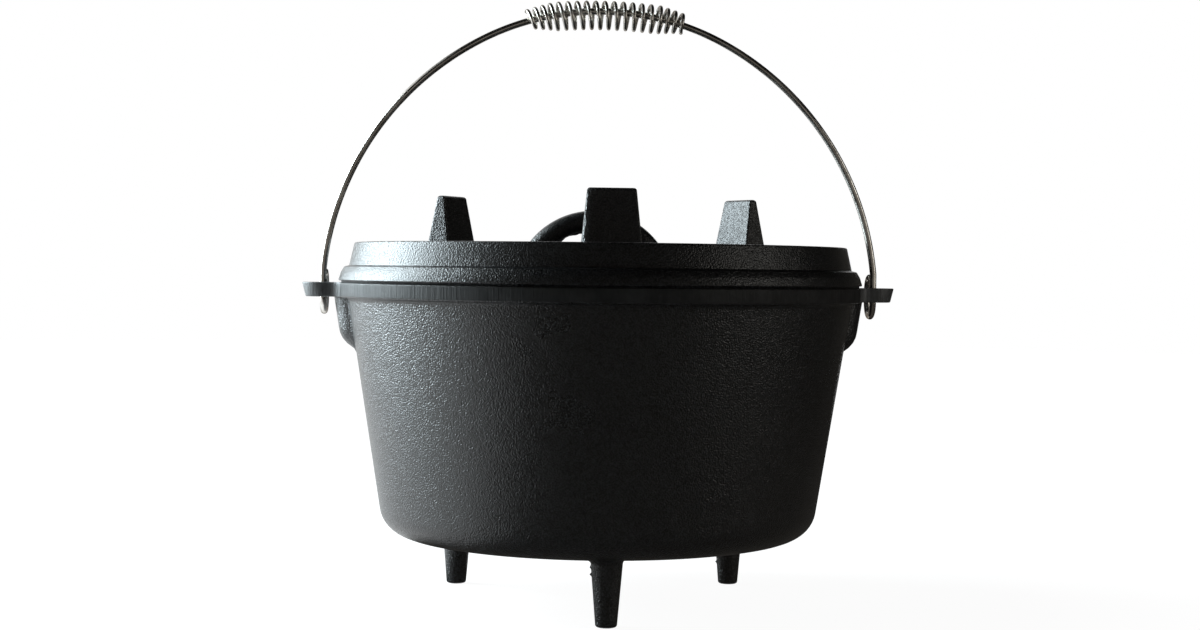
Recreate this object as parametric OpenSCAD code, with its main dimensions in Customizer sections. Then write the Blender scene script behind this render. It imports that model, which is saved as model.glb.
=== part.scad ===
// Camp dutch oven: a cast-iron pot on three legs, a rimmed lid with three feet and a loop handle,
// and a steel wire bail with a coiled grip. Millimetres, +Z up, the origin on the ground below the
// middle of the pot. The front is -Y, and the ears that hold the bail lie along X.

/* [Pot] */
// Height of the rim above the ground
rim_z = 188.4; // [170:0.1:230]
// Height of the pot's underside above the ground
leg_h = 39; // [25:0.5:55]
// Outer radius of the wall just below the flange
pot_r = 150.7; // [125:0.1:185]
// Lean of the wall from the upright, in degrees
wall_lean = 9; // [5:0.5:12]
// Thickness of the wall
wall = 5.5; // [4:0.1:7]
// Thickness of the floor
floor_t = 6; // [4:0.1:9]
// Outer radius between the wall and the floor
corner_r = 18; // [12:0.5:28]
// How far the flange stands out from the wall
flange_out = 4.9; // [3.5:0.1:8]
// Height of the flange and of the ears
flange_t = 8.8; // [7:0.1:11]
// Radius of the hollow below the flange
flange_fillet = 3; // [1:0.1:4]
// Chamfer round the mouth
mouth_chamfer = 1; // [0.5:0.1:1.5]
// Rounding of the cast edges
edge_r = 1.2; // [0.5:0.1:1.8]

/* [Ears] */
// Distance of an ear's hole past the flange, to its middle
ear_hole_out = 10.4; // [9:0.1:15]
// Half width of an ear, and the radius of its tip
ear_r = 12.5; // [12:0.1:16]
// Diameter of an ear's hole
ear_hole_d = 12; // [11:0.1:14]
// Lean of an ear's tip from the upright, in degrees
ear_lean = 14; // [5:1:20]
// Radius of the boss below an ear
boss_r = 12; // [9:0.1:12]
// How far a boss stands out from the wall
boss_out = 8.6; // [5:0.1:9]
// How far a boss reaches down from its ear
boss_drop = 31; // [24:0.5:60]

/* [Legs] */
// Number of legs
leg_count = 3; // [3:1:4]
// Radius of the circle that the legs stand on
leg_ring = 99; // [80:0.5:105]
// Diameter of a leg at the floor
leg_top_d = 18.5; // [15:0.1:24]
// Diameter of a leg's sole
leg_sole_d = 12; // [8:0.1:14]
// Radius of the hollow round a leg's top
leg_fillet = 4; // [1:0.1:6]

/* [Lid] */
// Height of the lid's rim above its seat
lid_h = 23.7; // [21:0.1:35]
// How far the lid's edge overhangs the flange
lid_overhang = 1; // [0:0.1:3]
// Height of the lid's edge
lid_edge_h = 8.3; // [6:0.1:10]
// How far the lid's edge leans in towards its top
lid_edge_in = 3.5; // [2:0.1:5]
// Height of the bulge in the lid's edge
lid_bulge_h = 5; // [3.5:0.1:5.5]
// Rounding of the bulge in the lid's edge
lid_bulge_round = 6; // [3:0.1:8]
// Width of the ledge on top of the lid's edge
lid_ledge = 2.9; // [2:0.1:5]
// Rise of the ledge towards the ember rim
lid_ledge_rise = 0.7; // [0.3:0.1:1.2]
// Lean of the ember rim from the upright, in degrees
lid_lean = 12; // [6:0.5:16]
// Thickness of the ember rim
lid_rim_t = 6.5; // [5:0.1:9]
// Depth of the ember tray inside the rim
tray_depth = 9; // [6:0.1:12]
// Radius of the hollow round the tray's floor, and under the plate
tray_fillet = 4; // [2:0.1:4.5]
// Thickness of the lid's plate
lid_plate_t = 5.5; // [4:0.1:7]
// Open gap between the lid's edge and the flange
lid_gap = 1.1; // [0.6:0.1:2]
// Width of the lid's seat on the pot's rim
seat_w = 5.5; // [4:0.1:7]
// Depth of the locating ring in the pot's mouth
ring_h = 3.2; // [2:0.1:4]
// Lean of the locating ring's bevel from the upright, in degrees
ring_lean = 52; // [45:1:54]
// Clearance of the locating ring in the mouth
ring_clear = 1; // [0.5:0.1:2]
// Thickness of the locating ring
ring_t = 7; // [6.8:0.1:10]

/* [Lid feet] */
// Number of feet on the lid
foot_count = 3; // [3:1:4]
// Radius of the circle that the feet stand on
foot_ring = 105; // [80:0.5:112]
// Height of the feet above the ember rim
foot_rise = 30.4; // [15:0.1:40]
// Width of a foot's top, round the lid
foot_top_w = 27; // [18:0.5:32]
// Depth of a foot's top, towards the middle
foot_top_d = 5; // [4.5:0.1:10]
// Width of a foot's base, round the lid
foot_base_w = 35; // [24:0.5:40]
// Depth of a foot's base, towards the middle
foot_base_d = 19.5; // [12:0.5:22]
// Rounding of a foot's edges
foot_round = 2; // [1:0.1:2.2]

/* [Lid handle] */
// Thickness of the loop's bar
loop_bar = 13.5; // [10:0.1:16]
// Radius of the loop, to the middle of its bar
loop_r = 42.1; // [36:0.1:50]
// Height of the loop's top above the tray
loop_rise = 30; // [26:0.1:36]
// Distance of the loop from the lid's middle, along X
loop_shift = -4; // [-10:0.5:10]

/* [Bail] */
// Diameter of the bail's wire
wire_d = 4; // [3:0.1:4.5]
// Radius of the crown, to the middle of the wire
crown_r = 156.5; // [140:0.5:175]
// Half of the crown's arc, in degrees
crown_half = 28; // [27:0.5:32]
// Lean of the arch where it meets the bend, in degrees
bail_lean = 6; // [3:0.5:10]
// Radius of the bend above a hook
bend_r = 20; // [12:1:40]
// Length of the straight shank between bend and hook
shank = 9.3; // [4:0.1:30]
// Clearance between a hook and the bar it hangs on
hook_clear = 0.7; // [0.4:0.1:0.9]
// Straight stretch in a hook's sides
hook_long = 6; // [3:0.1:6.5]
// Distance of a hook's middle below the middle of its ear
hook_drop = 1; // [0:0.1:1.2]
// Arc that closes a hook over its bar, in degrees
hook_close = 75; // [45:1:90]

/* [Grip] */
// Diameter of the coil's wire
coil_wire = 2.3; // [1.8:0.1:2.8]
// Outer diameter of the coil
coil_d = 17.7; // [16.5:0.1:20]
// Outer diameter of the coil's ends
coil_end_d = 12.4; // [12:0.1:15]
// Number of turns in the coil
coil_turns = 18.5; // [12:0.5:19]
// Number of turns in each tapered end
coil_taper_turns = 3.5; // [2:0.5:5]
// Distance from turn to turn in the middle
coil_pitch = 5.4; // [4:0.1:5.8]
// Distance from turn to turn at the ends
coil_end_pitch = 4.5; // [3.5:0.1:5]
// How far the coil's middle hangs below the wire
coil_sag = 2.4; // [1:0.1:2.6]
// How far the coil's ends stand above the wire
coil_end_lift = 0.9; // [0:0.1:1]
// How far the coil has slid along the crown, to the right
coil_slide = 2; // [-8:0.5:8]

/* [Hidden] */
$fn = 96;
iron = "#1f2022";
steel = "#9a948c";
// How far a leg runs up into the floor, and a cut runs past the face it starts from
leg_sink = 3;
cut_past = 1;
// Thickness of the slices that a foot is drawn between
slab_t = 0.01;
// Steps of the curves and sides of the wires
arc_steps = 6;
wire_sides = 12;
crown_steps = 8;
side_steps = 14;
bend_steps = 2;
hook_steps = 12;
close_steps = 5;
coil_rings = 8;
coil_sides = 6;
// Part of a turn over which the coil's direction is taken
turn_step = 0.01;

// Pot
flange_z = rim_z - flange_t;
flange_r = pot_r + flange_out;
mouth_r = wall_r(rim_z) - wall / cos(wall_lean);
floor_z = leg_h + floor_t;
inner_corner_r = max(corner_r - wall, 4);

// Ears and the bar between an ear's hole and its rear edge, which the hook hangs on
ear_x = flange_r + ear_hole_out;
ear_tip_r = ear_x + ear_r;
bar_w = ear_r - ear_hole_d / 2;
bar_y = ear_hole_d / 2 + bar_w / 2;
boss_shaft = boss_drop - sqrt(boss_r * boss_r - pow(boss_r - boss_out, 2));

// Lid
lid_top = rim_z + lid_h;
tray_z = lid_top - tray_depth;
plate_z = tray_z - lid_plate_t;
lid_r = flange_r + lid_overhang;
edge_z = rim_z + lid_gap;
ledge_z = edge_z + lid_edge_h;
ledge_r = lid_r - lid_edge_in;
lid_bulge_r = lid_r - lid_edge_in / 4;
ember_r = ledge_r - lid_ledge;
ember_top_r = ember_r - (lid_top - ledge_z) * tan(lid_lean);
tray_top_r = ember_top_r - lid_rim_t;
tray_r = tray_top_r - tray_depth * tan(lid_lean);
ring_r = mouth_r - ring_clear;
ring_bevel = ring_h * tan(ring_lean);
foot_z = lid_top + foot_rise;
loop_z = tray_z + loop_rise - loop_bar / 2 - loop_r;

// Bail: the crown, two wider side arcs, a short bend above each shank, and the hooks. A shank comes
// down through its ear's hole, and the hook turns up again behind the bar.
hook_z = flange_z + flange_t / 2 - hook_drop;
hook_r = norm([bar_w / 2, flange_t / 2 + hook_drop]) + wire_d / 2 + hook_clear;
bail_y = bar_y - hook_r;
bend_z = hook_z + hook_long / 2 + shank;
side_r = (ear_x - bend_r * (1 - cos(bail_lean)) - crown_r * sin(crown_half))
    / (cos(bail_lean) - sin(crown_half));
side_x = (crown_r - side_r) * sin(crown_half);
side_z = bend_z + (bend_r - side_r) * sin(bail_lean);
side_arc = 90 - crown_half - bail_lean;
crown_z = side_z + (side_r - crown_r) * cos(crown_half);

// Grip
coil_len = 2 * coil_taper_turns * coil_end_pitch
    + (coil_turns - 2 * coil_taper_turns) * coil_pitch;

// Outer radius of the pot's wall at height z
function wall_r(z) = pot_r - (flange_z - z) * tan(wall_lean);

// Radius of the pot's hollow at height z
function hollow_r(z) = wall_r(z) - wall / cos(wall_lean);

function unit(v) = v / norm(v);

// The corner at b, on the way from a to c, rounded to radius r
function round_corner(a, b, c, r) =
    let(to_a = unit(a - b), to_c = unit(c - b), half = acos(to_a * to_c) / 2)
    let(centre = b + unit(to_a + to_c) * r / sin(half))
    let(start = b + to_a * r / tan(half) - centre, end = b + to_c * r / tan(half) - centre)
    let(first = atan2(start.y, start.x), last = atan2(end.y, end.x))
    let(sweep = (last - first + 540) % 360 - 180)
    [for (i = [0:arc_steps])
        let(at = first + sweep * i / arc_steps)
        centre + r * [cos(at), sin(at)]];

// An outline from [x, y, corner radius] points
function rounded(points) =
    let(n = len(points), xy = [for (p = points) [p[0], p[1]]])
    [for (i = [0:n - 1])
        each points[i][2] == 0 ? [xy[i]]
            : round_corner(xy[(i + n - 1) % n], xy[i], xy[(i + 1) % n], points[i][2])];

module pot_outside() {
    rotate_extrude()
        polygon(rounded([
            [0, leg_h, 0],
            [wall_r(leg_h), leg_h, corner_r],
            [pot_r, flange_z, flange_fillet],
            [flange_r, flange_z, edge_r],
            [flange_r, rim_z, edge_r],
            [0, rim_z, 0],
        ]));
}

module pot_hollow() {
    rotate_extrude()
        polygon(rounded([
            [0, floor_z, 0],
            [hollow_r(floor_z), floor_z, inner_corner_r],
            [hollow_r(rim_z - mouth_chamfer), rim_z - mouth_chamfer, 0],
            [mouth_r + mouth_chamfer, rim_z, 0],
            [mouth_r + mouth_chamfer, rim_z + cut_past, 0],
            [0, rim_z + cut_past, 0],
        ]));
}

// An ear is a flat tab whose round tip leans in below
module ear() {
    intersection() {
        translate([0, 0, flange_z])
            linear_extrude(flange_t)
                union() {
                    translate([ear_x, 0])
                        circle(r = ear_r);
                    translate([mouth_r, -ear_r])
                        square([ear_x - mouth_r, 2 * ear_r]);
                }
        translate([0, 0, flange_z])
            cylinder(h = flange_t, r1 = ear_tip_r - flange_t * tan(ear_lean), r2 = ear_tip_r);
    }
}

// A boss is a half-round rib that follows the wall and ends in a ball
module boss() {
    translate([pot_r + (boss_out - boss_r) / cos(wall_lean), 0, flange_z])
        rotate([0, wall_lean, 0]) {
            translate([0, 0, -boss_shaft])
                cylinder(h = boss_shaft + flange_t / 2, r = boss_r);
            translate([0, 0, -boss_shaft])
                sphere(r = boss_r);
        }
}

module leg() {
    rotate_extrude()
        polygon(rounded([
            [0, 0, 0],
            [leg_sole_d / 2, 0, edge_r],
            [leg_top_d / 2, leg_h, leg_fillet],
            [leg_top_d / 2 + leg_fillet, leg_h, 0],
            [leg_top_d / 2 + leg_fillet, leg_h + leg_sink, 0],
            [0, leg_h + leg_sink, 0],
        ]));
}

module pot() {
    color(iron)
        difference() {
            union() {
                pot_outside();
                for (side = [0, 1])
                    mirror([side, 0, 0]) {
                        ear();
                        boss();
                    }
                intersection() {
                    for (i = [0:leg_count - 1])
                        rotate([0, 0, -90 + 360 * i / leg_count])
                            translate([leg_ring, 0, 0])
                                leg();
                    cylinder(h = rim_z, r = wall_r(leg_h + corner_r));
                }
            }
            pot_hollow();
            for (side = [-1, 1])
                translate([side * ear_x, 0, flange_z - cut_past])
                    cylinder(h = flange_t + 2 * cut_past, d = ear_hole_d);
        }
}

module lid_casting() {
    rotate_extrude()
        polygon(rounded([
            [0, plate_z, 0],
            [ring_r - ring_t - edge_r, plate_z, tray_fillet],
            [ring_r - ring_t, rim_z - ring_h, edge_r],
            [ring_r - ring_bevel, rim_z - ring_h, edge_r / 2],
            [ring_r, rim_z, 0],
            [mouth_r + seat_w, rim_z, 0],
            [mouth_r + seat_w, edge_z, 0],
            [lid_r, edge_z, edge_r / 2],
            [lid_bulge_r, edge_z + lid_bulge_h, lid_bulge_round],
            [ledge_r, ledge_z, edge_r],
            [ember_r, ledge_z + lid_ledge_rise, edge_r],
            [ember_top_r, lid_top, edge_r],
            [tray_top_r, lid_top, edge_r],
            [tray_r, tray_z, tray_fillet],
            [0, tray_z, 0],
        ]));
}

// Four thin round corners of a foot's cross-section
module foot_slab(z, width, depth) {
    for (x = [-1, 1], y = [-1, 1])
        translate([x * (depth / 2 - foot_round), y * (width / 2 - foot_round), z])
            cylinder(r = foot_round, h = slab_t, $fn = 32);
}

// A foot is a blade that narrows upwards, wide round the lid and thin towards its middle
module foot() {
    hull() {
        foot_slab(tray_z - lid_plate_t / 2, foot_base_w, foot_base_d);
        foot_slab(foot_z - foot_round / 2, foot_top_w, foot_top_d);
        foot_slab(foot_z - slab_t, foot_top_w - foot_round, foot_top_d - foot_round / 4);
    }
}

module loop_handle() {
    intersection() {
        translate([loop_shift, 0, loop_z])
            rotate([90, 0, 0])
                rotate_extrude()
                    translate([loop_r, 0])
                        circle(d = loop_bar);
        translate([0, 0, tray_z - lid_plate_t / 2])
            cylinder(h = loop_rise + lid_plate_t, r = tray_r);
    }
}

module lid() {
    color(iron)
        union() {
            lid_casting();
            for (i = [0:foot_count - 1])
                rotate([0, 0, -90 + 360 * i / foot_count])
                    translate([foot_ring, 0, 0])
                        foot();
            loop_handle();
        }
}

// Stations along the right half of the bail, from the top of its crown to the tip of its hook. Each
// is a point of the wire's middle and a direction across the wire that turns smoothly along it.
function arch_station(r, x, z, at) =
    let(out = [cos(at), 0, sin(at)])
    [[x, bail_y, z] + r * out, out];
function hook_station(z, at) =
    [[ear_x, bar_y - hook_r * cos(at), z + hook_r * sin(at)], [1, 0, 0]];
bail_half = concat(
    [for (i = [0:crown_steps])
        arch_station(crown_r, 0, crown_z, 90 - crown_half * i / crown_steps)],
    [for (i = [1:side_steps])
        arch_station(side_r, side_x, side_z, 90 - crown_half - side_arc * i / side_steps)],
    [for (i = [1:bend_steps])
        arch_station(bend_r, ear_x - bend_r, bend_z, bail_lean * (1 - i / bend_steps))],
    [for (i = [0:hook_steps])
        hook_station(hook_z - hook_long / 2, -180 * i / hook_steps)],
    [for (i = [0:close_steps])
        hook_station(hook_z + hook_long / 2, 180 - hook_close * i / close_steps)]);

// The left half is the right one mirrored, so the wire runs on from hook to hook
function mirrored(v) = [-v.x, v.y, v.z];
bail_stations = concat(
    [for (i = [len(bail_half) - 1:-1:1]) [mirrored(bail_half[i][0]), mirrored(bail_half[i][1])]],
    bail_half);

// A tube of diameter d along stations, closed at both ends
module tube(stations, d, sides) {
    last = len(stations) - 1;
    points = [for (k = [0:last])
        let(heading = unit(stations[min(k + 1, last)][0] - stations[max(k - 1, 0)][0]))
        let(sideways = unit(cross(heading, stations[k][1])), outward = cross(sideways, heading))
        for (i = [0:sides - 1])
            let(at = 360 * i / sides)
            stations[k][0] + d / 2 * (cos(at) * outward + sin(at) * sideways)];
    skin = [for (k = [0:last - 1]) for (i = [0:sides - 1])
        let(a = k * sides + i, b = k * sides + (i + 1) % sides)
        each [[a, a + sides, b], [b, a + sides, b + sides]]];
    first_cap = [for (i = [1:sides - 2]) [0, i, i + 1]];
    last_cap = [for (i = [1:sides - 2]) [for (k = [0, i + 1, i]) last * sides + k]];
    polyhedron(points, concat(skin, first_cap, last_cap));
}

module bail() {
    color(steel)
        tube(bail_stations, wire_d, wire_sides);
}

// Distance along the coil at turn n
function coil_along(n) =
    n < coil_taper_turns ? n * coil_end_pitch
    : n > coil_turns - coil_taper_turns ? coil_len - (coil_turns - n) * coil_end_pitch
    : coil_taper_turns * coil_end_pitch + (n - coil_taper_turns) * coil_pitch;

// Radius of turn n, to the middle of the coil's wire
function coil_turn_r(n) =
    (coil_end_d - coil_wire) / 2
    + (coil_d - coil_end_d) / 2 * min(1, n / coil_taper_turns, (coil_turns - n) / coil_taper_turns);

// Direction out of the crown at turn n
function coil_out(n) =
    let(at = (coil_along(n) - coil_len / 2 + coil_slide) / crown_r * 180 / PI)
    [sin(at), 0, cos(at)];

// Direction from the coil's middle line to its wire at turn n
function coil_radial(n) = cos(360 * n) * coil_out(n) - sin(360 * n) * [0, 1, 0];

// Height of the coil's middle line over the bail's wire at turn n
function coil_lift(n) =
    -coil_sag + (coil_sag + coil_end_lift) * pow(2 * coil_along(n) / coil_len - 1, 2);

// Middle of the coil's wire at turn n
function coil_point(n) =
    [0, bail_y, crown_z] + (crown_r + coil_lift(n)) * coil_out(n) + coil_turn_r(n) * coil_radial(n);

// Direction of the coil's wire at turn n
function coil_heading(n) =
    unit(coil_point(min(n + turn_step, coil_turns)) - coil_point(max(n - turn_step, 0)));

coil_steps = round(coil_turns * coil_rings);
coil_middle = [for (i = [0:coil_steps])
    let(n = i * coil_turns / coil_steps)
    [coil_point(n), coil_radial(n)]];

// The coil's ends run straight for one diameter of its wire
coil_stations = concat(
    [[coil_point(0) - coil_wire * coil_heading(0), coil_radial(0)]],
    coil_middle,
    [[coil_point(coil_turns) + coil_wire * coil_heading(coil_turns), coil_radial(coil_turns)]]);
coil_gap = min([for (i = [0:coil_steps - coil_rings - 2])
    for (j = [i + coil_rings - 2:i + coil_rings + 2])
        norm(coil_middle[i][0] - coil_middle[j][0])]) - coil_wire;

module grip_coil() {
    echo("least gap between turns of the coil", coil_gap);
    color(steel)
        tube(coil_stations, coil_wire, coil_sides);
}

pot();
lid();
bail();
grip_coil();
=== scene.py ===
import bpy
import numpy as np
from mathutils import Matrix, Vector


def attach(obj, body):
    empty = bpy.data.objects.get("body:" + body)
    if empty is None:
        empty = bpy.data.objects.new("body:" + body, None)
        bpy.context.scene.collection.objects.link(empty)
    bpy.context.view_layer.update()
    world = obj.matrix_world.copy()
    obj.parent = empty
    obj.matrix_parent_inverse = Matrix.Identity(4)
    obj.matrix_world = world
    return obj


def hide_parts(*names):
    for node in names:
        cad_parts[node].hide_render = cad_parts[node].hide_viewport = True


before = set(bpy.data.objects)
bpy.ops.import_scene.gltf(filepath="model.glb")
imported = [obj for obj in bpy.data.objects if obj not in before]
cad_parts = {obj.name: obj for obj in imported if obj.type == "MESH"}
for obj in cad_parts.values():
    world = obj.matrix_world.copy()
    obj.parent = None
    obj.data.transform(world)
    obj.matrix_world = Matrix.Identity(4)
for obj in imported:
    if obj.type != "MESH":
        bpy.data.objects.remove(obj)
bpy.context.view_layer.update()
mm = 0.001  # sizes below are in millimetres, as in the CAD; meshes are in metres
print("frame loaded:", sorted(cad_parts))


# vectors divided by their own length
def unit(v):
    return v / np.linalg.norm(v, axis=-1, keepdims=True)


# quads between neighbouring rows and columns of a grid, closed round in the columns
def gridQuads(rows, cols, wrapRows=False):
    i, j = np.meshgrid(np.arange(rows if wrapRows else rows - 1), np.arange(cols), indexing="ij")
    below, beside = (i + 1) % rows, (j + 1) % cols
    quads = np.stack([i * cols + j, i * cols + beside, below * cols + beside, below * cols + j], -1)
    return quads.reshape(-1, 4)


# rings of points with a point at each end: quads along the rings, and a fan of triangles at both ends
def closedRings(rings, first, last):
    rows, cols = rings.shape[:2]
    points = np.vstack([rings.reshape(-1, 3), first, last])
    j = np.arange(cols)
    beside, end = (j + 1) % cols, (rows - 1) * cols
    startFan = np.stack([beside, j, np.full(cols, rows * cols)], -1)
    endFan = np.stack([end + j, end + beside, np.full(cols, rows * cols + 1)], -1)
    return points, gridQuads(rows, cols).tolist() + startFan.tolist() + endFan.tolist()


# a smooth mesh that rides on its body and stands in for the CAD node
def makePiece(name, points, faces, materials, body, node):
    mesh = bpy.data.meshes.new(name)
    mesh.from_pydata((points * mm).tolist(), [], faces)
    mesh.polygons.foreach_set("use_smooth", np.ones(len(mesh.polygons), bool))
    for material in materials:
        mesh.materials.append(material)
    mesh.update()
    piece = bpy.data.objects.new(name, mesh)
    bpy.context.scene.collection.objects.link(piece)
    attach(piece, body)
    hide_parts(node)
    return piece


# an outline through [x, y, corner radius] rows: each corner is an arc that touches both its straights
def roundedOutline(rows, steps=10):
    rows = np.array(rows, float)
    xy, line = rows[:, :2], []
    for k, radius in enumerate(rows[:, 2]):
        if radius == 0:
            line.append(xy[k:k + 1])
            continue
        back, ahead = unit(xy[k - 1] - xy[k]), unit(xy[(k + 1) % len(xy)] - xy[k])
        half = np.arccos(back @ ahead) / 2
        centre = xy[k] + unit(back + ahead) * radius / np.sin(half)
        start = xy[k] + back * radius / np.tan(half) - centre
        stop = xy[k] + ahead * radius / np.tan(half) - centre
        first, final = np.arctan2(start[1], start[0]), np.arctan2(stop[1], stop[0])
        sweep = (final - first + 3 * np.pi) % (2 * np.pi) - np.pi  # the shorter way round
        at = first + sweep * np.linspace(0, 1, steps + 1)
        line.append(centre + radius * np.stack([np.cos(at), np.sin(at)], -1))
    return np.concatenate(line)


# the same line with its long straights cut, so that no step is longer than given
def cutStraights(line, longest):
    parts = np.maximum(1, np.ceil(np.linalg.norm(np.diff(line, axis=0), axis=1) / longest)).astype(int)
    index = np.repeat(np.arange(len(parts)), parts)
    t = (np.arange(len(index)) - np.repeat(np.cumsum(parts) - parts, parts)) / parts[index]
    cut = line[:-1][index] * (1 - t)[:, None] + line[1:][index] * t[:, None]
    return np.vstack([cut, line[-1:]])


# a profile of [radius, height] turned about the upright axis: x = r cos a, y = r sin a
def turned(radius, height, angle):
    radius, height = np.broadcast_arrays(radius, height)
    return np.stack([radius * np.cos(angle), radius * np.sin(angle), height], -1)


# the larger of two heights, rounded where they meet
def softMax(a, b, blend):
    return np.maximum(a, b) + np.maximum(blend - np.abs(a - b), 0) ** 2 / (4 * blend)


# the hollow where a form rises out of a plate: a quarter circle, gone at its own height
def hollow(height, radius):
    near = np.clip(1 - height / radius, 0, 1)
    return radius * (1 - np.sqrt(1 - near ** 2))


# a ragged line: random heights from 0 to 1 at even steps, joined by straights
def ragged(along, step, seed, count=4096):
    heights = np.random.default_rng(seed).random(count)
    place = (along / step) % (count - 1)
    k = np.floor(place).astype(int)
    return heights[k] * (1 - place + k) + heights[k + 1] * (place - k)


# a new material, with what its maker needs: nodes, links, the shader and the piece's own coordinates
def newMaterial(name):
    material = bpy.data.materials.new(name)
    material.use_nodes = True
    nodes, links = material.node_tree.nodes, material.node_tree.links
    shader = nodes["Principled BSDF"]
    where = nodes.new("ShaderNodeTexCoord").outputs["Object"]
    return material, nodes, links, shader, where


# noise from 0 to 1, drawn out along an axis where the stretch is below 1
def addNoise(nodes, links, where, scale, detail, rough, stretch=None):
    noise = nodes.new("ShaderNodeTexNoise")
    noise.inputs["Scale"].default_value = scale
    noise.inputs["Detail"].default_value = detail
    noise.inputs["Roughness"].default_value = rough
    if stretch:
        mapping = nodes.new("ShaderNodeMapping")
        mapping.inputs["Scale"].default_value = stretch
        links.new(where, mapping.inputs["Vector"])
        where = mapping.outputs["Vector"]
    links.new(where, noise.inputs["Vector"])
    return noise.outputs["Fac"]


# a value as a colour from low to high
def addRamp(nodes, links, value, low, high, start=0.3, stop=0.7):
    ramp = nodes.new("ShaderNodeValToRGB")
    ramp.color_ramp.elements[0].position, ramp.color_ramp.elements[1].position = start, stop
    ramp.color_ramp.elements[0].color, ramp.color_ramp.elements[1].color = (*low, 1), (*high, 1)
    links.new(value, ramp.inputs["Fac"])
    return ramp.outputs["Color"]


# a value as a number from low to high
def addRange(nodes, links, value, low, high, start=0.3, stop=0.7):
    ranged = nodes.new("ShaderNodeMapRange")
    ranged.inputs["From Min"].default_value, ranged.inputs["From Max"].default_value = start, stop
    ranged.inputs["To Min"].default_value, ranged.inputs["To Max"].default_value = low, high
    links.new(value, ranged.inputs["Value"])
    return ranged.outputs["Result"]


# a height as a bent normal, over another one where there is one under it
def addBump(nodes, links, height, strength, depth, under=None):
    bump = nodes.new("ShaderNodeBump")
    bump.inputs["Strength"].default_value, bump.inputs["Distance"].default_value = strength, depth
    links.new(height, bump.inputs["Height"])
    if under:
        links.new(under, bump.inputs["Normal"])
    return bump.outputs["Normal"]


# two values worked into one
def addMath(nodes, links, operation, first, second):
    step = nodes.new("ShaderNodeMath")
    step.operation = operation
    links.new(first, step.inputs[0])
    links.new(second, step.inputs[1])
    return step.outputs[0]


# the looks: noises are (scale, detail, roughness), bumps are (strength, depth in metres)
ironLook = dict(dark=(0.001, 0.001, 0.001), light=(0.024, 0.024, 0.0247), rough=(0.26, 0.35), specular=0.6,
                grain=(2600, 1, 0.5), pebble=(1200, 0, 0.5), patch=(18, 4, 0.6),
                bump=0.78, pebbleDepth=0.0005, grainShare=0.4, grainDepth=0.00025)
lidLook = dict(ironLook, bump=0.62, specular=0.48)
footLook = dict(ironLook, bump=0.8, rough=(0.35, 0.44), specular=0.55)


# cast skin: a fine pebbled grain over slow unevenness, black with a cool grey sheen
def makeCastIron(name, look):
    material, nodes, links, shader, where = newMaterial(name)
    grain = addNoise(nodes, links, where, *look["grain"])
    pebble = addNoise(nodes, links, where, *look["pebble"])
    patch = addNoise(nodes, links, where, *look["patch"])
    links.new(addRamp(nodes, links, pebble, look["dark"], look["light"]), shader.inputs["Base Color"])
    links.new(addRange(nodes, links, patch, *look["rough"]), shader.inputs["Roughness"])
    coarse = addBump(nodes, links, pebble, look["bump"], look["pebbleDepth"])
    fine = addBump(nodes, links, grain, look["grainShare"] * look["bump"], look["grainDepth"], coarse)
    links.new(fine, shader.inputs["Normal"])
    shader.inputs["Specular IOR Level"].default_value = look["specular"]
    return material


bandLook = dict(dark=(0.012, 0.012, 0.012), light=(0.034, 0.033, 0.032), rough=(0.50, 0.64), specular=0.22,
                streak=(800, 2, 0.6), upright=(1, 1, 0.05), blotch=(60, 3, 0.6),
                unevenBump=(0.3, 0.0005), streakBump=(0.7, 0.0004))
earLook = dict(bandLook, dark=(0.06, 0.06, 0.06), light=(0.10, 0.099, 0.098), rough=(0.38, 0.48),
               specular=0.5)


# ground skin: the grain is worn off, and fine upright streaks are left
def makeGroundIron(name, look):
    material, nodes, links, shader, where = newMaterial(name)
    streak = addNoise(nodes, links, where, *look["streak"], look["upright"])
    blotch = addNoise(nodes, links, where, *look["blotch"])
    links.new(addRamp(nodes, links, blotch, look["dark"], look["light"]), shader.inputs["Base Color"])
    links.new(addRange(nodes, links, streak, *look["rough"]), shader.inputs["Roughness"])
    uneven = addBump(nodes, links, blotch, *look["unevenBump"])
    links.new(addBump(nodes, links, streak, *look["streakBump"], uneven), shader.inputs["Normal"])
    shader.inputs["Specular IOR Level"].default_value = look["specular"]
    return material


wireLook = dict(dark=(0.48, 0.45, 0.41), light=(0.80, 0.78, 0.74), edge=(0.2, 0.18, 0.16), rough=(0.18, 0.32),
                mark=(60, 0, 0.5), tarnish=(90, 1, 0.5), markBump=(0.06, 0.0002))


# drawn steel wire: bright, not quite even, with a slight brown tarnish
def makeWireSteel(name, look):
    material, nodes, links, shader, where = newMaterial(name)
    mark = addNoise(nodes, links, where, *look["mark"])
    tarnish = addNoise(nodes, links, where, *look["tarnish"])
    links.new(addRamp(nodes, links, tarnish, look["dark"], look["light"]), shader.inputs["Base Color"])
    links.new(addRange(nodes, links, mark, *look["rough"]), shader.inputs["Roughness"])
    links.new(addBump(nodes, links, mark, *look["markBump"]), shader.inputs["Normal"])
    shader.inputs["Metallic"].default_value = 1
    shader.inputs["Specular Tint"].default_value = (*look["edge"], 1)
    return material


potIron, lidIron = makeCastIron("potIron", ironLook), makeCastIron("lidIron", lidLook)
footIron = makeCastIron("footIron", footLook)
rimIron, earIron = makeGroundIron("rimIron", bandLook), makeGroundIron("earIron", earLook)
bailSteel, coilSteel = makeWireSteel("bailSteel", wireLook), makeWireSteel("coilSteel", wireLook)
print("finishes made")


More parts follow.
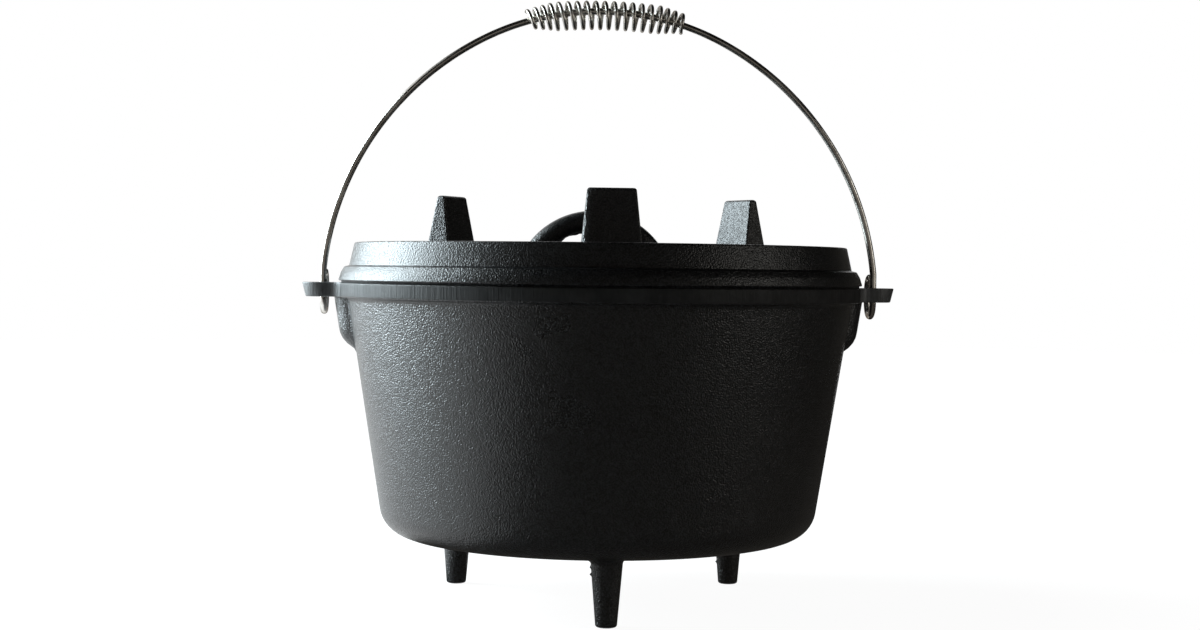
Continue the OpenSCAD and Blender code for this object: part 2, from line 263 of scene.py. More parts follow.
pot = dict(rimZ=188.4, legH=39, r=150.7, lean=np.radians(9), wall=5.5, floorT=6, cornerR=18,
           flangeOut=4.9, flangeT=8.8, flangeFillet=3, mouthChamfer=1, edgeR=1.2,
           bossR=12, bossOut=8.6, bossDrop=31, bossBlend=6.5, bossFall=1.5, bossSpare=0.3,
           step=3.2, cols=360, bossCols=32, bossStep=0.25, groundIn=0.1, groundDown=0.6)
pot["flangeZ"] = pot["rimZ"] - pot["flangeT"]
pot["flangeR"] = pot["r"] + pot["flangeOut"]


# the outer wall's radius at a height: it narrows downwards by its lean
def wallR(z):
    return pot["r"] - (pot["flangeZ"] - z) * np.tan(pot["lean"])


# the inner wall's radius: one wall thickness in, measured square to the wall
def cavityR(z):
    return wallR(z) - pot["wall"] / np.cos(pot["lean"])


pot["mouthR"] = cavityR(pot["rimZ"])
pot["floorZ"] = pot["legH"] + pot["floorT"]

# pot: one profile turned round, up the outside, over the flange and the mouth, and down the inside
potLine = cutStraights(roundedOutline([
    [0, pot["legH"], 0],
    [wallR(pot["legH"]), pot["legH"], pot["cornerR"]],
    [pot["r"], pot["flangeZ"], pot["flangeFillet"]],
    [pot["flangeR"], pot["flangeZ"], pot["edgeR"]],
    [pot["flangeR"], pot["rimZ"], pot["edgeR"]],
    [pot["mouthR"] + pot["mouthChamfer"], pot["rimZ"], 0],
    [cavityR(pot["rimZ"] - pot["mouthChamfer"]), pot["rimZ"] - pot["mouthChamfer"], 0],
    [cavityR(pot["floorZ"]), pot["floorZ"], pot["cornerR"] - pot["wall"]],
    [0, pot["floorZ"], 0]]), pot["step"])

# columns lie closer together at the two bosses
nearBoss = np.arange(-pot["bossCols"], pot["bossCols"] + 1) * pot["bossStep"]
potCols = np.concatenate([np.linspace(-180, 180, pot["cols"], endpoint=False), nearBoss, nearBoss + 180])
aroundPot = np.radians(np.unique(np.round((potCols + 180) % 360 - 180, 6)))

potR, potZ = potLine[1:-1, 0][:, None], potLine[1:-1, 1][:, None]
# boss: a half-round rib along the wall that ends in a ball, melted into the wall
acrossBoss = potR * np.sin(aroundPot)
bossShaft = pot["bossDrop"] - np.sqrt(pot["bossR"] ** 2 - (pot["bossR"] - pot["bossOut"]) ** 2)
belowShaft = np.maximum(0, pot["flangeZ"] - bossShaft * np.cos(pot["lean"]) - potZ)
fromAxis = np.hypot(acrossBoss, belowShaft)
bossAxis = wallR(potZ) + (pot["bossOut"] - pot["bossR"]) / np.cos(pot["lean"])
dome = np.sqrt(np.maximum(pot["bossR"] ** 2 - fromAxis ** 2, 0))
dome = dome - pot["bossFall"] * np.maximum(fromAxis - pot["bossR"], 0)
bossSurface = np.where(fromAxis < 2 * pot["bossR"], np.hypot(bossAxis + dome, acrossBoss), 0)
bossed = softMax(potR, bossSurface, pot["bossBlend"])
bossed = np.minimum(bossed, np.maximum(potR, wallR(potZ) + pot["bossOut"] + pot["bossSpare"]))
belowEdge = np.arange(len(potR)) < np.argmax(potR[:, 0] > pot["flangeR"] - 1e-6)
onWall = (belowEdge & (potZ[:, 0] > pot["legH"] + pot["cornerR"]))[:, None]
potRings = turned(np.where(onWall, bossed, potR), potZ, aroundPot)
potPoints, potFaces = closedRings(potRings, [[0, 0, pot["legH"]]], [[0, 0, pot["floorZ"]]])
potBody = makePiece("potBody", potPoints, potFaces, [potIron, rimIron], "pot", "pot")
# the flange's face and the rim's top are ground
groundRows = potR[:, 0] > pot["flangeR"] - pot["groundIn"]
groundRows = groundRows | (potZ[:, 0] > pot["rimZ"] - pot["groundDown"])
groundFaces = np.zeros(len(potBody.data.polygons), np.int32)
groundFaces[:(len(potR) - 1) * len(aroundPot)] = np.repeat(groundRows[:-1], len(aroundPot))
potBody.data.polygons.foreach_set("material_index", groundFaces)
print("pot made:", len(potFaces), "faces")


ear = dict(x=pot["flangeR"] + 10.4, r=12.5, holeR=6, lean=np.radians(14), inset=0.12, edge=0.7, holeEdge=0.8,
           rootR=6.5, rootX=-14, rootY=20, bendEnd=np.radians(70), endTurn=np.radians(172), turnPower=0.75,
           tipCols=61, bendCols=13, sideStep=1.5, endStep=2, edgeRows=6)


# ear: a flat tab with a round tip that leans in below, hollowed into the flange at its root, round its hole.
# Its plan outline is joined to the hole's circle point by point, and the section runs once round.
def makeEar(name, side):
    rootStart = ear["x"] - np.sqrt(pot["flangeR"] ** 2 - ear["r"] ** 2)  # where the side meets the flange
    tip = np.radians(np.linspace(-90, 90, ear["tipCols"]))
    tipLine = ear["r"] * np.stack([np.cos(tip), np.sin(tip)], -1)
    bend = np.linspace(0, ear["bendEnd"], ear["bendCols"])
    bendX = -rootStart + ear["rootR"] - ear["rootR"] * np.sin(bend)
    bendLine = np.stack([bendX, ear["r"] + ear["rootR"] * (1 - np.cos(bend))], -1)
    corner = np.array([[ear["rootX"], ear["rootY"]]])  # out of sight in the flange
    upper = cutStraights(np.vstack([tipLine[-1:], bendLine, corner]), ear["sideStep"])[1:]
    end = cutStraights(np.vstack([corner, corner * [1, -1]]), ear["endStep"])[1:-1]
    outline = np.vstack([tipLine, upper, end, (upper * [1, -1])[::-1]])
    # the hole's points keep step with the outline: evenly at the tip, by a power of the length at the sides
    length = np.cumsum(np.linalg.norm(np.diff(np.vstack([tipLine[-1:], upper]), axis=0), axis=1))
    sideTurn = np.pi / 2 + (ear["endTurn"] - np.pi / 2) * (length / length[-1]) ** ear["turnPower"]
    endTurn = np.linspace(ear["endTurn"], 2 * np.pi - ear["endTurn"], len(end) + 2)[1:-1]
    at = np.concatenate([tip, sideTurn, endTurn, 2 * np.pi - sideTurn[::-1]])
    hole = ear["holeR"] * np.stack([np.cos(at), np.sin(at)], -1)
    outward = unit(outline - hole)
    span = np.linalg.norm(outline - hole, axis=1)
    # section rows: [distance from the hole's wall or from the edge, height, 0 by the hole or 1 by the edge]
    rows = lambda d, z, outer: np.stack([d, z, np.full_like(d, outer)], -1)
    lowZ, highZ = pot["flangeZ"] + ear["inset"], pot["rimZ"] - ear["inset"]
    edge, lip = ear["edge"], ear["holeEdge"]
    turn = np.radians(np.linspace(0, 90, ear["edgeRows"]))
    back = turn[::-1]
    section = np.vstack([
        rows(lip * (1 - np.sin(back)), lowZ + lip * (1 - np.cos(back)), 0),
        rows(edge * (1 - np.sin(turn)), lowZ + edge * (1 - np.cos(turn)), 1),
        rows(edge * (1 - np.cos(turn)), highZ - edge * (1 - np.sin(turn)), 1),
        rows(lip * (1 - np.sin(turn)), highZ - lip * (1 - np.cos(turn)), 0)])
    inward, z, outer = section.T[:, :, None]
    lean = (pot["rimZ"] - z) * np.tan(ear["lean"]) * np.clip(np.cos(at), 0, 1) * outer
    reach = np.where(outer > 0, span - inward - lean, inward)
    xy = hole + reach[..., None] * outward
    points = np.concatenate([xy, np.broadcast_to(z, reach.shape)[..., None]], -1)
    points[..., 0] += ear["x"]
    if side < 0:  # mirrored, and its columns turned round to keep the faces outwards
        points = (points * [-1, 1, 1])[:, ::-1]
    faces = gridQuads(*points.shape[:2], wrapRows=True).tolist()
    makePiece(name, points.reshape(-1, 3), faces, [earIron], "pot", "pot")


makeEar("earRight", 1)
makeEar("earLeft", -1)

# burrs are (height, size) for the front, right and left leg
leg = dict(ring=99, topD=18.5, soleD=12, edgeR=1.4, fillet=4, sunk=0.6, cols=160, edgeRows=8,
           coneFrom=2, rowStep=0.3, filletRows=12, filletEnd=88, burrW=0.75, burrTurn=0.11,
           burrs=[[(37, 0.9), (33.2, 0.7), (29.2, 1.0)], [(13.7, 0.8)], []])
aroundLeg = np.radians(np.linspace(0, 360, leg["cols"], endpoint=False))


# leg: a cone that flares into the floor above and is rounded at its sole, with round burrs on its left side
def makeLeg(name, k):
    turn = np.radians(np.linspace(0, 90, leg["edgeRows"]))
    flare = np.radians(np.linspace(0, leg["filletEnd"], leg["filletRows"]))
    edge = leg["edgeR"]
    z = np.concatenate([edge * (1 - np.cos(turn)),
                        np.arange(leg["coneFrom"], pot["legH"] - leg["fillet"], leg["rowStep"]),
                        pot["legH"] - leg["fillet"] * np.cos(flare),
                        [pot["legH"] + leg["sunk"]]])
    cone = leg["soleD"] / 2 + (leg["topD"] - leg["soleD"]) / 2 * z / pot["legH"]
    inset = np.where(z < edge, edge - np.sqrt(np.maximum(edge ** 2 - (edge - z) ** 2, 0)), 0)
    coneR = cone - inset + hollow(np.maximum(pot["legH"] - z, 0), leg["fillet"])
    r = coneR[:, None] * np.ones(len(aroundLeg))
    onLeft = np.exp(-((np.angle(np.exp(1j * (aroundLeg - np.pi)))) / leg["burrTurn"]) ** 2)
    for burrZ, size in leg["burrs"][k]:
        r = r + size * np.exp(-((z - burrZ) / leg["burrW"]) ** 2)[:, None] * onLeft
    heading = np.radians(-90 + 120 * k)
    points, faces = closedRings(turned(r, z[:, None], aroundLeg), [[0, 0, 0]], [[0, 0, z[-1]]])
    points = points + [leg["ring"] * np.cos(heading), leg["ring"] * np.sin(heading), 0]
    makePiece(name, points, faces, [potIron], "pot", "pot")


for legIndex, legName in enumerate(("legFront", "legRight", "legLeft")):
    makeLeg(legName, legIndex)
print("ears and legs made")


lid = dict(h=23.7, overhang=0.99, edgeH=8.3, edgeIn=3.5, bulgeH=5, bulgeIn=1.5, bulgeRound=6,
           ledge=2.9, ledgeRise=0.7, lean=np.radians(12), rimT=6.5, trayDepth=9, fillet=4, plateT=5.5,
           gap=1.1, ringH=3.2, ringLean=np.radians(52), ringClear=1, ringT=7, edgeR=1.2, seatSeen=8.3,
           step=4, cols=420)
lidTop = pot["rimZ"] + lid["h"]
trayZ = lidTop - lid["trayDepth"]
plateZ = trayZ - lid["plateT"]
lidR = pot["flangeR"] + lid["overhang"]
edgeZ = pot["rimZ"] + lid["gap"]
ledgeZ = edgeZ + lid["edgeH"]
ledgeR = lidR - lid["edgeIn"]
emberR = ledgeR - lid["ledge"]
emberTopR = emberR - (lidTop - ledgeZ) * np.tan(lid["lean"])
trayTopR = emberTopR - lid["rimT"]
trayR = trayTopR - lid["trayDepth"] * np.tan(lid["lean"])
seatR = pot["mouthR"] + lid["seatSeen"]
ringR = pot["mouthR"] - lid["ringClear"]
ringBevel = lid["ringH"] * np.tan(lid["ringLean"])
ringZ = pot["rimZ"] - lid["ringH"]

# lid: one profile turned round, out along the underside, up the edge and the ember rim, and in over the tray
lidLine = cutStraights(roundedOutline([
    [0, plateZ, 0],
    [ringR - lid["ringT"] - lid["edgeR"], plateZ, lid["fillet"]],
    [ringR - lid["ringT"], ringZ, lid["edgeR"]],
    [ringR - ringBevel, ringZ, lid["edgeR"] / 2],
    [ringR, pot["rimZ"], 0],
    [seatR, pot["rimZ"], 0],
    [seatR, edgeZ, 0],
    [lidR, edgeZ, lid["edgeR"] / 2],
    [lidR - lid["bulgeIn"], edgeZ + lid["bulgeH"], lid["bulgeRound"]],
    [ledgeR, ledgeZ, lid["edgeR"]],
    [emberR, ledgeZ + lid["ledgeRise"], lid["edgeR"] / 2],
    [emberTopR, lidTop, lid["edgeR"]],
    [trayTopR, lidTop, lid["edgeR"]],
    [trayR, trayZ, lid["fillet"]],
    [0, trayZ, 0]]), lid["step"])
aroundLid = np.radians(np.linspace(-180, 180, lid["cols"], endpoint=False))
lidRings = turned(lidLine[1:-1, :1] * np.ones(len(aroundLid)), lidLine[1:-1, 1:], aroundLid)
lidPoints, lidFaces = closedRings(lidRings, [[0, 0, plateZ]], [[0, 0, trayZ]])
makePiece("lidBody", lidPoints, lidFaces, [lidIron], "lid", "lid")

foot = dict(ring=105, topZ=242.5, baseZ=trayZ - lid["plateT"] / 2, topW=27, topD=5, baseW=35, baseD=19.5,
            corner=1.1, cornerLeast=0.3, spare=0.2, topRound=1.5, topRows=8, fillet=3.5, filletFrom=4,
            filletRows=10, sideFrom=0.6, rowStep=0.8, arcSteps=7, sideSteps=5,
            chip=(0.3, 1.6), chipZ=(229, 237), chipLeast=0.25, chipStep=2.6, chipSeed=11)


# columns of a rounded rectangle: the corner's centre as a share of the half sizes, and the way out from it
def ringPattern(arcSteps, sideSteps):
    signs = np.array([[1, 1], [-1, 1], [-1, -1], [1, -1]])
    columns = []
    for k in range(4):
        at = np.radians(90 * k + np.linspace(0, 90, arcSteps + 1))
        t = np.linspace(0, 1, sideSteps + 2)[1:-1, None]
        columns.append(np.c_[np.tile(signs[k], (arcSteps + 1, 1)), np.cos(at), np.sin(at)])
        columns.append(np.c_[signs[k] * (1 - t) + signs[(k + 1) % 4] * t,
                             np.tile([np.cos(at[-1]), np.sin(at[-1])], (sideSteps, 1))])
    return np.concatenate(columns)


# foot: a blade whose rounded rectangle narrows with height, flared into the tray and rounded over at its top
def makeFoot(name, k):
    flare = np.radians(np.linspace(foot["filletFrom"], 90, foot["filletRows"]))
    turn = np.radians(np.linspace(0, 90, foot["topRows"]))
    sideStart, sideStop = trayZ + foot["fillet"] + foot["sideFrom"], foot["topZ"] - foot["topRound"]
    z = np.concatenate([[foot["baseZ"]],
                        trayZ + foot["fillet"] * (1 - np.cos(flare)),
                        np.arange(sideStart, sideStop, foot["rowStep"]),
                        foot["topZ"] - foot["topRound"] * (1 - np.sin(turn))])
    share = (z - foot["baseZ"]) / (foot["topZ"] - foot["baseZ"])
    nearTop = np.maximum(z - foot["topZ"] + foot["topRound"], 0)
    over = foot["topRound"] - np.sqrt(np.maximum(foot["topRound"] ** 2 - nearTop ** 2, 0))
    grow = hollow(np.maximum(z - trayZ, 0), foot["fillet"]) - over
    halfD = (foot["baseD"] + (foot["topD"] - foot["baseD"]) * share) / 2 + grow
    halfW = (foot["baseW"] + (foot["topW"] - foot["baseW"]) * share) / 2 + grow
    corner = np.maximum(np.minimum(foot["corner"], halfD - foot["spare"]), foot["cornerLeast"])
    column = ringPattern(foot["arcSteps"], foot["sideSteps"])
    x = column[:, 0] * (halfD - corner)[:, None] + column[:, 2] * corner[:, None]
    y = column[:, 1] * (halfW - corner)[:, None] + column[:, 3] * corner[:, None]
    if k == 0:  # the front foot's left edge, its last corner, is chipped to a ragged flat, wider lower down
        chipLow, chipHigh = foot["chipZ"]
        least, most = foot["chip"]
        deep = np.clip((chipHigh - z) / (chipHigh - chipLow), foot["chipLeast"], 1)
        deep = deep * ragged(z, foot["chipStep"], foot["chipSeed"])
        flat = np.minimum(least + (most - least) * deep, halfD - foot["spare"])[:, None]
        first = 3 * (foot["arcSteps"] + 1 + foot["sideSteps"])
        edge = slice(first, first + foot["arcSteps"] + 1)
        t = np.linspace(0, 1, foot["arcSteps"] + 1)
        x[:, edge] = halfD[:, None] - flat * (1 - t)
        y[:, edge] = flat * t - halfW[:, None]
    heading = np.radians(-90 + 120 * k)
    c, s = np.cos(heading), np.sin(heading)
    x = x + foot["ring"]
    rings = np.stack([c * x - s * y, s * x + c * y, np.broadcast_to(z[:, None], x.shape)], -1)
    middle = foot["ring"] * np.array([c, s, 0])
    points, faces = closedRings(rings, [middle + [0, 0, z[0]]], [middle + [0, 0, z[-1]]])
    makePiece(name, points, faces, [footIron], "lid", "lid")


for footIndex, footName in enumerate(("footFront", "footRight", "footLeft")):
    makeFoot(footName, footIndex)

# the flash lies between two angles of the arc, in degrees, and is faint beyond them
loop = dict(bar=13.5, r=42.1, rise=30, shift=-4, fillet=4, thin=1.2, startZ=200.6, stations=260, sides=72,
            flash=0.8, flashFrom=97, flashTo=128, flashFade=4, flashFaint=0.16, flashGain=1.7, flashCut=0.35,
            flashStep=2.4, flashSeed=23, flashTurn=0.16)
loopZ = trayZ + loop["rise"] - loop["bar"] / 2 - loop["r"]
# loop: a round bar carried along an arc, flared into the plate, with a ragged line of flash on its inside
startAngle = np.arcsin((loop["startZ"] - loopZ) / loop["r"])
loopTurn = np.linspace(startAngle, np.pi - startAngle, loop["stations"])
aroundBar = np.radians(np.linspace(0, 360, loop["sides"], endpoint=False))
emerge = np.arcsin((trayZ - loopZ) / loop["r"])
fromTray = loop["r"] * np.minimum(loopTurn - emerge, np.pi - emerge - loopTurn)
barR = (loop["bar"] / 2 + hollow(np.maximum(fromTray, 0), loop["fillet"]))[:, None]
barR = barR - loop["thin"] * np.clip(-np.cos(aroundBar), 0, 1) ** 2  # flatter on its inside
degrees = np.degrees(loopTurn)
inFlash = np.minimum(degrees - loop["flashFrom"], loop["flashTo"] - degrees) / loop["flashFade"]
teeth = ragged(loop["r"] * loopTurn, loop["flashStep"], loop["flashSeed"])
teeth = np.clip(loop["flashGain"] * teeth - loop["flashCut"], 0, 1)
flash = loop["flash"] * (np.clip(inFlash, 0, 1) + loop["flashFaint"]) * teeth
barR = barR + flash[:, None] * np.exp(-((aroundBar - np.pi) / loop["flashTurn"]) ** 2)
outR = loop["r"] + barR * np.cos(aroundBar)
loopRings = np.stack([loop["shift"] + outR * np.cos(loopTurn)[:, None], barR * np.sin(aroundBar),
                      loopZ + outR * np.sin(loopTurn)[:, None]], -1)
loopEnds = [[loop["shift"] + sign * loop["r"] * np.cos(startAngle), 0, loop["startZ"]] for sign in (1, -1)]
loopPoints, loopFaces = closedRings(loopRings, [loopEnds[0]], [loopEnds[1]])
makePiece("loopHandle", loopPoints, loopFaces, [lidIron], "lid", "lid")
print("lid made:", len(lidFaces), "faces, with its feet and loop")


# wire: a circle carried along stations, each a point and a direction across; its cut ends are eased
def makeWire(name, points, acrossWire, wire, material, body, node):
    heading = unit(np.gradient(points, axis=0))
    sideways = unit(np.cross(heading, acrossWire))
    outward = np.cross(sideways, heading)
    at = np.radians(np.linspace(0, 360, wire["sides"], endpoint=False))[:, None]
    around = np.cos(at)[None] * outward[:, None] + np.sin(at)[None] * sideways[:, None]
    wireR, ease = wire["wireD"] / 2, wire["ease"]
    startRing = points[0] + (wireR - ease) * around[0] - ease * heading[0]
    endRing = points[-1] + (wireR - ease) * around[-1] + ease * heading[-1]
    rings = np.concatenate([startRing[None], points[:, None] + wireR * around, endRing[None]])
    verts, faces = closedRings(rings, [points[0] - ease * heading[0]], [points[-1] + ease * heading[-1]])
    makePiece(name, verts, faces, [material], body, node)


bail = dict(wireD=4, crownR=156.5, crownHalf=np.radians(28), lean=np.radians(6), bendR=20, shank=9.3,
            hookClear=0.7, hookLong=6, hookDrop=1, hookClose=np.radians(75), sides=24, ease=0.35,
            crownSteps=50, sideSteps=90, bendSteps=8, hookSteps=40, closeSteps=18)
barW = ear["r"] - ear["holeR"]
barY = ear["holeR"] + barW / 2
hookZ = pot["flangeZ"] + pot["flangeT"] / 2 - bail["hookDrop"]
hookR = np.hypot(barW / 2, pot["flangeT"] / 2 + bail["hookDrop"]) + bail["wireD"] / 2 + bail["hookClear"]
bailY = barY - hookR
bendZ = hookZ + bail["hookLong"] / 2 + bail["shank"]
sideR = ((ear["x"] - bail["bendR"] * (1 - np.cos(bail["lean"])) - bail["crownR"] * np.sin(bail["crownHalf"]))
         / (np.cos(bail["lean"]) - np.sin(bail["crownHalf"])))
sideX = (bail["crownR"] - sideR) * np.sin(bail["crownHalf"])
sideZ = bendZ + (bail["bendR"] - sideR) * np.sin(bail["lean"])
crownZ = sideZ + (sideR - bail["crownR"]) * np.cos(bail["crownHalf"])


# an arc of the arch in the bail's plane, with the direction out of the arc as the one across the wire
def archArc(r, x, z, start, stop, count):
    at = np.linspace(start, stop, count)
    out = np.stack([np.cos(at), 0 * at, np.sin(at)], -1)
    return np.concatenate([[x, bailY, z] + r * out, out], -1)


# an arc of the hook round the ear's bar, with X as the direction across the wire
def hookArc(z, start, stop, count):
    at = np.linspace(start, stop, count)
    place = np.stack([0 * at + ear["x"], barY - hookR * np.cos(at), z + hookR * np.sin(at)], -1)
    return np.concatenate([place, np.tile([1.0, 0, 0], (count, 1))], -1)


# bail: crown, side, bend and hook follow each other on the right, and are mirrored to the left
quarter = np.pi / 2
crownEnd = quarter - bail["crownHalf"]
bailHalf = np.vstack([
    archArc(bail["crownR"], 0, crownZ, quarter, crownEnd, bail["crownSteps"]),
    archArc(sideR, sideX, sideZ, crownEnd, bail["lean"], bail["sideSteps"])[1:],
    archArc(bail["bendR"], ear["x"] - bail["bendR"], bendZ, bail["lean"], 0, bail["bendSteps"])[1:],
    hookArc(hookZ - bail["hookLong"] / 2, 0, -np.pi, bail["hookSteps"]),
    hookArc(hookZ + bail["hookLong"] / 2, np.pi, np.pi - bail["hookClose"], bail["closeSteps"])])
bailLine = np.vstack([(bailHalf * [-1, 1, 1, -1, 1, 1])[:0:-1], bailHalf])
makeWire("bailWire", bailLine[:, :3], bailLine[:, 3:], bail, bailSteel, "bail", "bail")

coil = dict(wireD=2.3, d=17.7, endD=12.4, turns=18.5, taper=3.5, pitch=5.4, endPitch=4.5, sag=2.4,
            endLift=0.9, slide=2, rings=44, sides=14, ease=0.2)
# coil: a helix round a middle line that follows the crown, sags in the middle and narrows at both ends
turnsDone = np.linspace(0, coil["turns"], int(coil["turns"] * coil["rings"]) + 1)
coilLen = 2 * coil["taper"] * coil["endPitch"] + (coil["turns"] - 2 * coil["taper"]) * coil["pitch"]
fromEnd = np.minimum(turnsDone, coil["turns"] - turnsDone)
fromEndLen = (np.minimum(fromEnd, coil["taper"]) * coil["endPitch"]
              + np.maximum(fromEnd - coil["taper"], 0) * coil["pitch"])
coilAlong = np.where(turnsDone < coil["turns"] / 2, fromEndLen, coilLen - fromEndLen)
widened = np.minimum(1, fromEnd / coil["taper"])
turnR = (coil["endD"] - coil["wireD"]) / 2 + (coil["d"] - coil["endD"]) / 2 * widened
crownTurn = (coilAlong - coilLen / 2 + coil["slide"]) / bail["crownR"]
crownOut = np.stack([np.sin(crownTurn), 0 * crownTurn, np.cos(crownTurn)], -1)
lift = -coil["sag"] + (coil["sag"] + coil["endLift"]) * (2 * coilAlong / coilLen - 1) ** 2
helixTurn = 2 * np.pi * turnsDone[:, None]
radial = np.cos(helixTurn) * crownOut - np.sin(helixTurn) * [0, 1, 0]
coilMiddle = [0, bailY, crownZ] + (bail["crownR"] + lift)[:, None] * crownOut + turnR[:, None] * radial
firstWay, lastWay = unit(coilMiddle[1] - coilMiddle[0]), unit(coilMiddle[-1] - coilMiddle[-2])
firstTail, lastTail = coilMiddle[0] - coil["wireD"] * firstWay, coilMiddle[-1] + coil["wireD"] * lastWay
coilLine = np.vstack([firstTail, coilMiddle, lastTail])
coilOut = np.vstack([radial[:1], radial, radial[-1:]])
makeWire("gripCoil", coilLine, coilOut, coil, coilSteel, "grip", "grip_coil")
print("bail and coil made")


# one for rays that see a surface, by themselves or in a reflection, and nought for the light that it gives
def seenShare(nodes, links):
    path = nodes.new("ShaderNodeLightPath").outputs
    seen = addMath(nodes, links, "MAXIMUM", path["Is Camera Ray"], path["Is Glossy Ray"])
    return addMath(nodes, links, "MAXIMUM", seen, path["Is Transmission Ray"])


# a mesh of the studio, in metres, which is no piece of the part
def stageMesh(name, points, faces, material):
    mesh = bpy.data.meshes.new(name)
    mesh.from_pydata(np.asarray(points).tolist(), [], np.asarray(faces).tolist())
    mesh.materials.append(material)
    made = bpy.data.objects.new(name, mesh)
    bpy.context.scene.collection.objects.link(made)
    return made


stage = dict(floorR=4.0, floorZ=-0.0003, floorCols=96, floorColour=(0.6, 0.6, 0.6), fill=0.06,
             glow=(0.72, 0.80), glowR=(0.25, 0.75), glowStrength=1.32)

# the world is white where it is seen, and gives only a low plain fill
world = bpy.data.worlds.new("studio")
bpy.context.scene.world = world
world.use_nodes = True
worldNodes, worldLinks = world.node_tree.nodes, world.node_tree.links
background = worldNodes["Background"]
background.inputs["Color"].default_value = (1, 1, 1, 1)
worldStrength = addRange(worldNodes, worldLinks, seenShare(worldNodes, worldLinks), stage["fill"], 1, 0, 1)
worldLinks.new(worldStrength, background.inputs["Strength"])


# floor paint: matte, with a glow whose share grows with the distance from the part, so that it ends in white
def makeFloorPaint():
    material, nodes, links, shader, where = newMaterial("floorPaint")
    nodes.remove(shader)
    matte, glow = nodes.new("ShaderNodeBsdfDiffuse"), nodes.new("ShaderNodeEmission")
    matte.inputs["Color"].default_value = (*stage["floorColour"], 1)
    glow.inputs["Strength"].default_value = stage["glowStrength"]
    fromPart, mixed = nodes.new("ShaderNodeVectorMath"), nodes.new("ShaderNodeMixShader")
    fromPart.operation = "LENGTH"
    links.new(where, fromPart.inputs[0])
    share = addRange(nodes, links, fromPart.outputs["Value"], *stage["glow"], *stage["glowR"])
    links.new(addMath(nodes, links, "MULTIPLY", share, seenShare(nodes, links)), mixed.inputs[0])
    links.new(matte.outputs[0], mixed.inputs[1])
    links.new(glow.outputs[0], mixed.inputs[2])
    links.new(mixed.outputs[0], nodes["Material Output"].inputs["Surface"])
    return material


floorTurn = np.radians(np.linspace(0, 360, stage["floorCols"], endpoint=False))
floorEdge = turned(np.full(len(floorTurn), stage["floorR"]), stage["floorZ"], floorTurn)
stageMesh("floor", floorEdge, [np.arange(len(floorTurn))], makeFloorPaint())

# dark flags stand round the front and the right, hang overhead and lie on the ground there, so that only the
# left of the iron picks up white;
# under the part the lying flag is painted shade, a dark disc that stands in for the pot's shadow on the
# floor; they are seen by reflections alone
flags = dict(start=-156, stop=68, r=1.9, high=2.4, cols=49, discCols=180,
             groundStart=-138, paintedShadeR=0.14, groundZ=0.0006,
             colour=(1.0, 0.93, 0.84), heights=(0.5, 0.72), least=0.04, places=(0, 0.29, 0.47, 0.68, 0.92),
             glows=(0.22, 0.22, 0.005, 0.005, 0.06), ground=(0.065, 0.028), groundR=(0.25, 0.75))


# cloth: a plain faint glow, whose strength is still to be linked
def newCloth(name):
    material, nodes, links, shader, where = newMaterial(name)
    nodes.remove(shader)
    cloth = nodes.new("ShaderNodeEmission")
    cloth.inputs["Color"].default_value = (*flags["colour"], 1)
    links.new(cloth.outputs[0], nodes["Material Output"].inputs["Surface"])
    return material, nodes, links, where, cloth.inputs["Strength"]


# the standing cloth is dim and warm low in the front, black at the sides and from shoulder height up,
# and a little lighter again towards its end at the back
def makeFlagCloth():
    material, nodes, links, where, strength = newCloth("flagCloth")
    apart, fromFront = nodes.new("ShaderNodeSeparateXYZ"), nodes.new("ShaderNodeValToRGB")
    links.new(where, apart.inputs[0])
    low = addRange(nodes, links, apart.outputs["Z"], 1, flags["least"], *flags["heights"])
    marks = fromFront.color_ramp.elements
    for place, glow in zip(flags["places"], flags["glows"]):
        mark = marks[0] if place == 0 else marks.new(place)
        mark.color = (glow, glow, glow, 1)
    marks.remove(marks[-1])
    depth = addRange(nodes, links, apart.outputs["Y"], 0, 1, -flags["r"], flags["r"])
    links.new(depth, fromFront.inputs["Fac"])
    links.new(addMath(nodes, links, "MULTIPLY", low, fromFront.outputs["Color"]), strength)
    return material


# the lying cloth is lighter near the part than far from it
def makeGroundCloth():
    material, nodes, links, where, strength = newCloth("groundCloth")
    fromPart = nodes.new("ShaderNodeVectorMath")
    fromPart.operation = "LENGTH"
    links.new(where, fromPart.inputs[0])
    near = addRange(nodes, links, fromPart.outputs["Value"], *flags["ground"], *flags["groundR"])
    links.new(near, strength)
    return material


flagCloth, groundCloth = makeFlagCloth(), makeGroundCloth()
overhead = [0, 0, flags["high"]]
flagTurn = np.radians(np.linspace(flags["start"], flags["stop"], flags["cols"]))
flagEdge = turned(np.full(flags["cols"], flags["r"]), 0, flagTurn)
post = np.arange(flags["cols"] - 1)
standingFaces = np.stack([post, post + 1, flags["cols"] + post + 1, flags["cols"] + post], -1)
discTurn = np.linspace(-180, 180, flags["discCols"], endpoint=False)
inSector = (discTurn > flags["groundStart"]) & (discTurn < flags["stop"])
# outside the sector the lying flag shrinks to a dim disc under the part: painted shade for the pot's shadow
# on the floor, as seen in reflections
groundEdge = turned(np.where(inSector, flags["r"], flags["paintedShadeR"]), flags["groundZ"], np.radians(discTurn))
overEdge = turned(np.full(flags["discCols"], flags["r"]), flags["high"], np.radians(discTurn))
disc = np.arange(flags["discCols"])
discFaces = np.stack([disc, (disc + 1) % flags["discCols"], np.full(len(disc), flags["discCols"])], -1)
flagSheets = {
    "flagStanding": (np.vstack([flagEdge, flagEdge + overhead]), standingFaces, flagCloth),
    "flagOver": (np.vstack([overEdge, [overhead]]), discFaces, flagCloth),
    "flagLying": (np.vstack([groundEdge, [[0, 0, flags["groundZ"]]]]), discFaces, groundCloth)}
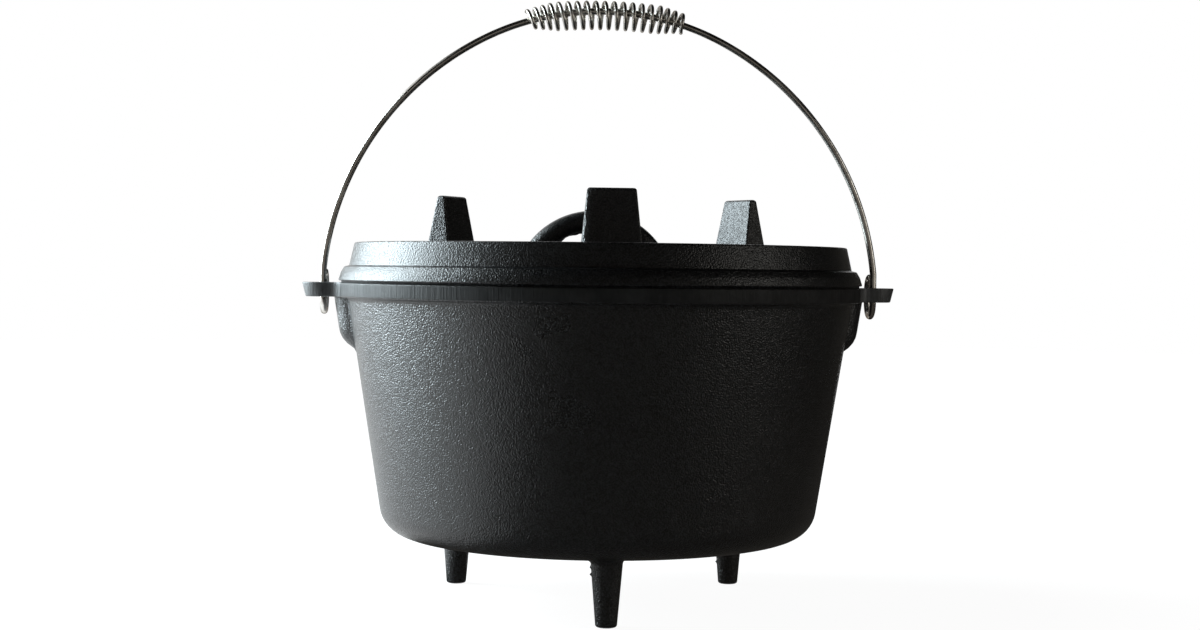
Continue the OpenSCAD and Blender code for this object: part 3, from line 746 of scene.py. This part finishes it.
for flagName, flagSheet in flagSheets.items():
    flag = stageMesh(flagName, *flagSheet)
    flag.visible_camera = flag.visible_diffuse = flag.visible_shadow = flag.visible_transmission = False

lamps = dict(
    softboxLeft=dict(place=(-0.74, 0.23, 0.42), aim=(0, 0, 0.19), width=0.58, height=0.60, power=19.5,
                     colour=(0.80, 0.94, 1.0)),
    stripRight=dict(place=(1.32, -0.56, 0.50), aim=(0, 0, 0.18), width=0.30, height=0.85, power=2.1,
                    colour=(1.0, 0.97, 0.9)))


# a soft rectangular lamp turned towards its aim
def addLamp(name, place, aim, width, height, power, colour):
    data = bpy.data.lights.new(name, "AREA")
    data.shape, data.size, data.size_y = "RECTANGLE", width, height
    data.energy, data.color = power, colour
    lamp = bpy.data.objects.new(name, data)
    bpy.context.scene.collection.objects.link(lamp)
    lamp.location = place
    lamp.rotation_mode = "QUATERNION"
    lamp.rotation_quaternion = (Vector(aim) - Vector(place)).to_track_quat("-Z", "Y")
    lamp.visible_camera = False


for lampName, lampSetting in lamps.items():
    addLamp(lampName, **lampSetting)

# the photo's camera: level height, a little left of the middle, tipped down and rolled
view = dict(place=(-0.0627, -1.1426, 0.1973), lens=56.93, sensor=36, clip=(0.05, 50),
            pan=np.radians(3.143), down=np.radians(1.353), roll=np.radians(0.686))
cameraData = bpy.data.cameras.new("camera")
cameraData.lens, cameraData.sensor_width = view["lens"], view["sensor"]
cameraData.clip_start, cameraData.clip_end = view["clip"]
camera = bpy.data.objects.new("camera", cameraData)
bpy.context.scene.collection.objects.link(camera)
level = Vector((np.sin(view["pan"]), np.cos(view["pan"]), 0))
forward = (level - Vector((0, 0, np.tan(view["down"])))).normalized()
right = forward.cross(Vector((0, 0, 1))).normalized()
up = right.cross(forward)
rollCos, rollSin = np.cos(view["roll"]), np.sin(view["roll"])
right, up = right * rollCos + up * rollSin, up * rollCos - right * rollSin
camera.matrix_world = Matrix.Translation(view["place"]) @ Matrix((right, up, -forward)).transposed().to_4x4()
bpy.context.scene.camera = camera
bpy.context.scene.view_settings.view_transform = "Standard"
print("stage, lights and camera set")
